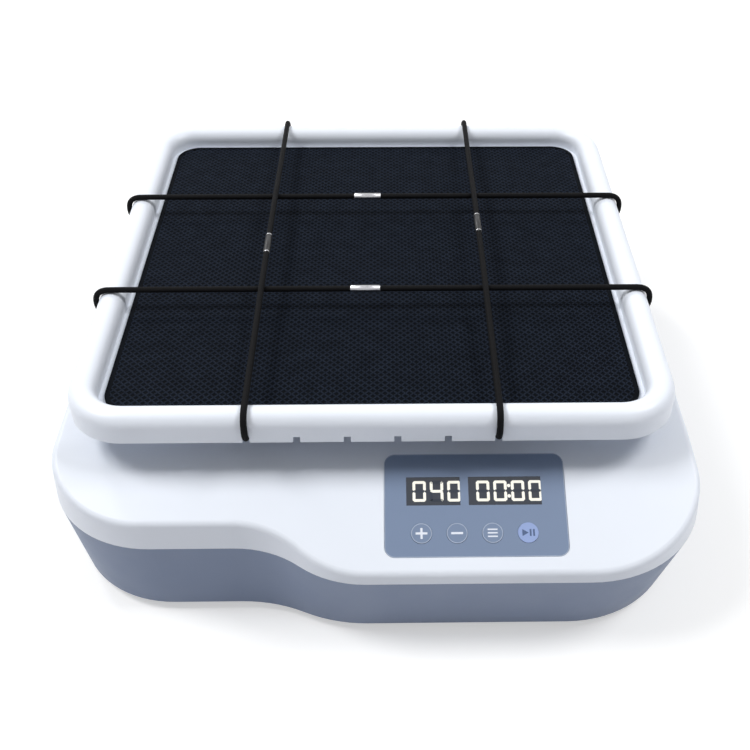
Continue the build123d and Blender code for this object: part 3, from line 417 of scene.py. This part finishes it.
def add_digits():
    """Lit and unlit segments of both displays, just proud of their windows."""
    lit, dark = [], []
    shapes = digit_segments()
    for digit, x in DIGITS:
        for key, outline in shapes.items():
            moved = [(px + x - DIGIT_WIDTH / 2, py + WINDOW_Y - DIGIT_HEIGHT / 2) for px, py in outline]
            (lit if key in LIT[digit] else dark).append(moved)
    for y in (WINDOW_Y - COLON_REACH, WINDOW_Y + COLON_REACH):
        lit.append(circle(COLON_RADIUS, COLON_X, y, count=16))
    for material, outlines in (("lit_segment", lit), ("dark_segment", dark)):
        mesh = prism(outlines, *SEGMENT_HEIGHTS)
        mesh.transform(PANEL)
        piece(f"{material}s", mesh, "base", material, smooth=False)


def button_signs():
    """Outlines of the sign on each button."""
    stub, stub_y = (PLUS_HEIGHT - PLUS_STROKE) / 2, (PLUS_HEIGHT + PLUS_STROKE) / 4
    across = bar(PLUS_WIDTH, PLUS_STROKE)
    play = [(PLAY_START, -START_HEIGHT / 2), (PLAY_TIP, 0.0), (PLAY_START, START_HEIGHT / 2)]
    return {
        "plus": [across, bar(PLUS_STROKE, stub, y=stub_y), bar(PLUS_STROKE, stub, y=-stub_y)],
        "minus": [across],
        "mode": [bar(LINE_WIDTH, LINE_STROKE, y=y) for y in (LINE_SPACING, 0.0, -LINE_SPACING)],
        "start": [play] + [bar(PAUSE_STROKE, START_HEIGHT, x=x) for x in PAUSE_PLACES],
    }


def add_prints_and_painted_highlights():
    """Sign on each button, the ring round it as a painted highlight, and a painted highlight along the
    overlay's edge.
    """
    signs = button_signs()
    for name, x in BUTTONS:
        place = PANEL @ Matrix.Translation(Vector((x, BUTTON_Y, 0)) * MM)
        sign = prism(signs[name], *SIGN_HEIGHTS)
        sign.transform(place)
        colour = "print_dark" if name == "start" else "print_white"
        piece(f"{name}_sign", sign, f"{name}_key", colour, smooth=False)
        if name != "start":
            # The light ring is a painted highlight on the key's raised ring.
            ring = band(circle(RING_RADIUS), circle(RING_BORE), *RING_HEIGHTS)
            ring.transform(place)
            piece(f"{name}_ring", ring, f"{name}_key", "painted_ring_highlight", smooth=False)
    # Painted highlight: a thin light band along the overlay's edge.
    width, depth, corner = EDGE_SIZE
    inner = rounded(width - 2 * EDGE_WIDTH, depth - 2 * EDGE_WIDTH, corner - EDGE_WIDTH)
    edge = band(rounded(width, depth, corner), inner, *EDGE_HEIGHTS)
    edge.transform(PANEL)
    piece("panel_edge", edge, "base", "painted_edge_highlight", smooth=False)


add_digits()
add_prints_and_painted_highlights()


# Mat: a lattice of fine ribs inside a plain border

MAT_HALF, MAT_CORNER, MAT_TOP = 115.5, 12.2, 91.0
BORDER = 2.2
BORDER_HEIGHTS = (-0.05, 0.4)
BORDER_BEVEL = 0.15
RIB_SPACING = 2.475
RIB_SINK = 0.4                  # how far a rib runs into the border
RIB_SHORTEST = 2.0
RIB_PROFILE = ((-0.42, -0.05), (-0.2, 0.34), (0.2, 0.34), (0.42, -0.05))
DIAGONAL = math.sqrt(0.5)       # both parts of a diagonal direction
HALVINGS = 22                   # steps of the search for a rib's end


def inside_mat(x, y, half, corner):
    """True inside the rounded square."""
    dx, dy = max(abs(x) - half + corner, 0), max(abs(y) - half + corner, 0)
    return math.hypot(dx, dy) <= corner


def rib_end(way, along, start, half, corner):
    """How far a rib runs from its start, one way or the other, until it has sunk into the border."""
    low, high = 0.0, 2 * half
    for _ in range(HALVINGS):
        middle = (low + high) / 2
        x, y = (way * middle * a + s for a, s in zip(along, start))
        if inside_mat(x, y, half, corner):
            low = middle
        else:
            high = middle
    return way * (low + RIB_SINK)


def add_mat():
    """Ribs in both diagonal directions, each a low ridge with sloped sides, and the border round them."""
    half, corner = MAT_HALF - BORDER, MAT_CORNER - BORDER
    verts, faces = [], []
    count = int(2 * half * DIAGONAL / RIB_SPACING)
    sides = len(RIB_PROFILE)
    for sign in (1, -1):
        along, across = (DIAGONAL, sign * DIAGONAL), (sign * DIAGONAL, -DIAGONAL)
        for index in range(-count, count + 1):
            offset = index * RIB_SPACING
            start = (offset * across[0], offset * across[1])
            if not inside_mat(*start, half, corner):
                continue
            ends = [rib_end(way, along, start, half, corner) for way in (-1, 1)]
            if ends[1] - ends[0] < RIB_SHORTEST:
                continue
            base = len(verts)
            for end in ends:
                for side, height in RIB_PROFILE:
                    x = end * along[0] + (offset + side) * across[0]
                    y = end * along[1] + (offset + side) * across[1]
                    verts.append((x * MM, (y + TRAY_Y) * MM, (MAT_TOP + height) * MM))
            for k in range(sides):
                following = (k + 1) % sides
                faces.append((base + k, base + following, base + sides + following, base + sides + k))
            faces.append((base, *range(base + sides - 1, base, -1)))
            faces.append(tuple(range(base + sides, base + 2 * sides)))
    # The ribs' lighter colour is a painted sheen.
    piece("mat_ribs", (verts, [], faces), "platform", "mat_rib_painted_sheen", smooth=False)
    outer = rounded(2 * MAT_HALF, 2 * MAT_HALF, MAT_CORNER)
    border = band(outer, rounded(2 * half, 2 * half, corner), *BORDER_HEIGHTS)
    border.transform(Matrix.Translation(Vector((0, TRAY_Y, MAT_TOP)) * MM))
    rim = piece("mat_border", border, "platform", "mat_rubber", smooth=False)
    bevel = rim.modifiers.new("bevel", "BEVEL")
    bevel.width = BORDER_BEVEL * MM
    bevel.segments = 2


add_mat()


# Elastic cords: closed loops round the tray

CORD_RADIUS = 1.4
CORD_SIDE, CORD_INNER = 131.45, 116.75      # the route's corner points and those next to them
CORD_TOP, CORD_BOTTOM = 101.45, 86.85
CORD_X, CORD_Y = 52.5, 42.0     # how far the cords stand from the tray's centre
CROSSING_RISE = 2.9             # of the front-to-back pair over the other
CROSSING_RUN = 12.0             # the route has a point this far beyond the crossing,
CROSSING_SHARE = 0.6            # at this share of the rise


def loop_points(points):
    """Points along a closed smooth curve that a cord's route guides."""
    data = bpy.data.curves.new("route", "CURVE")
    data.dimensions = "3D"
    data.resolution_u = 10
    spline = data.splines.new("NURBS")
    spline.points.add(len(points) - 1)
    for point, place in zip(spline.points, points):
        point.co = (*place, 1)
    spline.order_u = 3
    spline.use_cyclic_u = True
    thing = bpy.data.objects.new("route", data)
    mesh = bpy.data.meshes.new_from_object(thing)
    line = [vertex.co.copy() for vertex in mesh.vertices]
    bpy.data.objects.remove(thing)
    bpy.data.curves.remove(data)
    bpy.data.meshes.remove(mesh)
    return line


def ring_of(mesh, centre, radius, side, up, count):
    """Vertices on a circle about a centre."""
    turns = (2 * math.pi * k / count for k in range(count))
    return [mesh.verts.new((centre + radius * (math.cos(a) * side + math.sin(a) * up)) * MM) for a in turns]


def tube(line, radius, normal, count=14):
    """Closed tube along a flat loop, with a UV map in millimetres: along the cord and round it."""
    mesh = bmesh.new()
    uv = mesh.loops.layers.uv.new("UVMap")
    rings, run = [], [0.0]
    total = len(line)
    for index, place in enumerate(line):
        ahead = line[(index + 1) % total]
        side = (ahead - line[index - 1]).normalized().cross(normal).normalized()
        rings.append(ring_of(mesh, place, radius, side, normal, count))
        run.append(run[-1] + (ahead - place).length)
    girth = 2 * math.pi * radius
    for index in range(total):
        first, second = rings[index], rings[(index + 1) % total]
        for k in range(count):
            face = mesh.faces.new((first[k], first[(k + 1) % count], second[(k + 1) % count], second[k]))
            corners = ((index, k), (index, k + 1), (index + 1, k + 1), (index + 1, k))
            for loop, (step, turn) in zip(face.loops, corners):
                loop[uv].uv = (run[step], girth * turn / count)
    bmesh.ops.recalc_face_normals(mesh, faces=mesh.faces)
    return mesh


def around_tray(rise):
    """A cord's route in its own upright plane: sideways and height, once round the tray."""
    if rise:
        far, part_way = CORD_Y + CROSSING_RUN, CORD_TOP + rise * CROSSING_SHARE
        over = [(-far, part_way), (-CORD_Y, CORD_TOP + rise), (CORD_Y, CORD_TOP + rise), (far, part_way)]
        under = [(x, CORD_TOP + CORD_BOTTOM - z) for x, z in reversed(over)]
    else:
        over, under = [(0, CORD_TOP)], [(0, CORD_BOTTOM)]
    return [
        (-CORD_SIDE, CORD_TOP), (-CORD_INNER, CORD_TOP), *over,
        (CORD_INNER, CORD_TOP), (CORD_SIDE, CORD_TOP),
        (CORD_SIDE, CORD_BOTTOM), (CORD_INNER, CORD_BOTTOM), *under,
        (-CORD_INNER, CORD_BOTTOM), (-CORD_SIDE, CORD_BOTTOM),
    ]


def add_cord(name, route, normal):
    """One cord along its route, square to the normal, in place of the plain CAD cord."""
    mesh = tube(loop_points(route), CORD_RADIUS, normal)
    cord = piece(f"{name}_sleeve", mesh, "platform", "cord_elastic")
    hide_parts(name)


def add_cords():
    """Two cords each way; the front-to-back pair crosses above the other."""
    for name, x in (("left_cord", -CORD_X), ("right_cord", CORD_X)):
        add_cord(name, [(x, TRAY_Y + along, z) for along, z in around_tray(CROSSING_RISE)], X_AXIS)
    for name, y in (("front_cord", -CORD_Y), ("rear_cord", CORD_Y)):
        add_cord(name, [(along, TRAY_Y + y, z) for along, z in around_tray(0)], Y_AXIS)


add_cords()


# Crimps: sleeves that close the cords

CRIMP_RADIUS, CRIMP_HALF, CRIMP_BORE = 1.7, 7.0, 1.42
CRIMP_ROUND = 0.3
END_LENGTH, END_RADIUS, END_ROUND = 0.9, 1.6, 0.2
LOWER_CRIMPS = ((-4.0, -CORD_Y), (-4.0, CORD_Y))    # places from the tray's centre
UPPER_CRIMPS = ((-CORD_X, -8.0), (CORD_X, 10.0))
# The second material, black, is a painted dark reflection on the upper sleeves.
BRIGHT, PAINTED_DARK_REFLECTION = 0, 1             # places in the sleeves' list of materials


def add_sleeve(mesh, centre, axis, profile, material, count=20):
    """Turned sleeve about a level axis; its closed profile has places along the axis with radii."""
    side = axis.cross(Z_AXIS)
    rings = [ring_of(mesh, centre + along * axis, radius, side, Z_AXIS, count) for along, radius in profile]
    for index, ring in enumerate(rings):
        following = rings[(index + 1) % len(rings)]
        for k in range(count):
            face = mesh.faces.new((ring[k], ring[(k + 1) % count], following[(k + 1) % count], following[k]))
            face.material_index = material


def sleeve_outline(low, high, radius=CRIMP_RADIUS, round_off=CRIMP_ROUND):
    """Outline of a sleeve with softened ends."""
    return [(low, CRIMP_BORE), (low, radius - round_off), (low + round_off, radius),
            (high - round_off, radius), (high, radius - round_off), (high, CRIMP_BORE)]


def add_crimps():
    """Bright metal sleeves on the lower pair; on the upper pair the same sleeves drawn black, a painted dark
    reflection, with bright metal ends.
    """
    mesh = bmesh.new()
    sleeve = sleeve_outline(-CRIMP_HALF, CRIMP_HALF)
    for x, y in LOWER_CRIMPS:
        add_sleeve(mesh, Vector((x, TRAY_Y + y, CORD_TOP)), X_AXIS, sleeve, BRIGHT)
    for x, y in UPPER_CRIMPS:
        centre = Vector((x, TRAY_Y + y, CORD_TOP + CROSSING_RISE))
        # Painted dark reflection: the upper sleeves are drawn black.
        add_sleeve(mesh, centre, Y_AXIS, sleeve, PAINTED_DARK_REFLECTION)
        for low in (-CRIMP_HALF - END_LENGTH, CRIMP_HALF):
            end = sleeve_outline(low, low + END_LENGTH, END_RADIUS, END_ROUND)
            add_sleeve(mesh, centre, Y_AXIS, end, BRIGHT)
    bmesh.ops.recalc_face_normals(mesh, faces=mesh.faces)
    crimps = piece("cord_crimp_sleeves", mesh, "platform", "crimp_metal")
    # Black: the painted dark reflection of the upper sleeves.
    crimps.data.materials.append(materials["black_plastic"])
    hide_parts("cord_crimps")


add_crimps()


# Floor, light and background

WHITE = (1, 1, 1, 1)
FLOOR_HALF = 12.0               # metres
FLOOR_TINT = (0.7, 0.7, 0.72, 1)    # for the light that the floor throws back on the object
FLOOR_GLOW, FLOOR_GLOW_SHARE = 1.35, 0.35   # strength, and its share in what the camera sees
ROOM_TINT = (0.97, 0.985, 1, 1)
DIM_GLOW, BACK_GLOW, TOP_GLOW = 0.12, 0.18, 0.2
GLOW_REACH = 0.6                # the room brightens while a direction's y goes from minus to plus this
AIM = (0, 0, 0.05)              # metres
LAMPS = (                       # name, place and diameter in metres, power in watts
    ("key", (-2.7, 3.3, 3.45), 0.8, 60),
    ("upper_left", (-1.7, 0.0, 2.6), 1.1, 47),
    ("upper_right", (1.7, 0.0, 2.6), 1.1, 38),
)


def seen(tree):
    """Node value that is 1 for what the camera sees, directly or mirrored, and 0 for all other light."""
    path = tree.nodes.new("ShaderNodeLightPath")
    return combined(tree, "MAXIMUM", path.outputs["Is Camera Ray"], path.outputs["Is Glossy Ray"])


def blended(tree, factor, first, second):
    """Shader that goes from the first to the second with the factor."""
    mix = tree.nodes.new("ShaderNodeMixShader")
    for source, socket in zip((factor, first, second), mix.inputs):
        tree.links.new(source, socket)
    return mix.outputs["Shader"]


def add_floor():
    """White floor that keeps the object's soft shadow."""
    mesh = bpy.data.meshes.new("floor")
    corners = [(x * FLOOR_HALF, y * FLOOR_HALF, 0) for x, y in ((-1, -1), (1, -1), (1, 1), (-1, 1))]
    mesh.from_pydata(corners, [], [(0, 1, 2, 3)])
    floor = bpy.data.objects.new("floor", mesh)
    bpy.context.scene.collection.objects.link(floor)
    surface = Surface("floor", WHITE, 1.0, Specular_IOR_Level=0.0)
    shown = seen(surface.tree)
    surface.link(surface.mix(shown, FLOOR_TINT, WHITE), surface.shader.inputs["Base Color"])
    glow = surface.tree.nodes.new("ShaderNodeEmission")
    glow.inputs["Strength"].default_value = FLOOR_GLOW
    share = ranged(surface.tree, shown, 0, 1, 0, FLOOR_GLOW_SHARE)
    both = blended(surface.tree, share, surface.shader.outputs["BSDF"], glow.outputs["Emission"])
    surface.link(both, surface.tree.nodes["Material Output"].inputs["Surface"])
    mesh.materials.append(surface.material)


def add_world():
    """White room that lights the object from above and behind, and less from the viewer's side."""
    world = bpy.data.worlds.new("studio")
    world.use_nodes = True
    tree = world.node_tree
    room = tree.nodes["Background"]
    room.inputs["Color"].default_value = ROOM_TINT
    way = tree.nodes.new("ShaderNodeSeparateXYZ")
    tree.links.new(tree.nodes.new("ShaderNodeTexCoord").outputs["Generated"], way.inputs["Vector"])
    behind = ranged(tree, way.outputs["Y"], -GLOW_REACH, GLOW_REACH, DIM_GLOW, DIM_GLOW + BACK_GLOW)
    above = ranged(tree, way.outputs["Z"], 0, 1, 0, TOP_GLOW)
    tree.links.new(combined(tree, "ADD", behind, above), room.inputs["Strength"])
    backdrop = tree.nodes.new("ShaderNodeBackground")
    backdrop.inputs["Color"].default_value = WHITE
    backdrop.inputs["Strength"].default_value = 1.0
    both = blended(tree, seen(tree), room.outputs["Background"], backdrop.outputs["Background"])
    tree.links.new(both, tree.nodes["World Output"].inputs["Surface"])
    bpy.context.scene.world = world


def add_lamp(name, place, size, power):
    """Round soft lamp that points at the object."""
    data = bpy.data.lights.new(name, "AREA")
    data.shape = "DISK"
    data.size = size
    data.energy = power
    lamp = bpy.data.objects.new(name, data)
    lamp.location = place
    lamp.rotation_euler = (Vector(AIM) - Vector(place)).to_track_quat("-Z", "Y").to_euler()
    bpy.context.scene.collection.objects.link(lamp)


add_floor()
add_world()
for lamp in LAMPS:
    add_lamp(*lamp)
bpy.context.scene.view_settings.view_transform = "Standard"
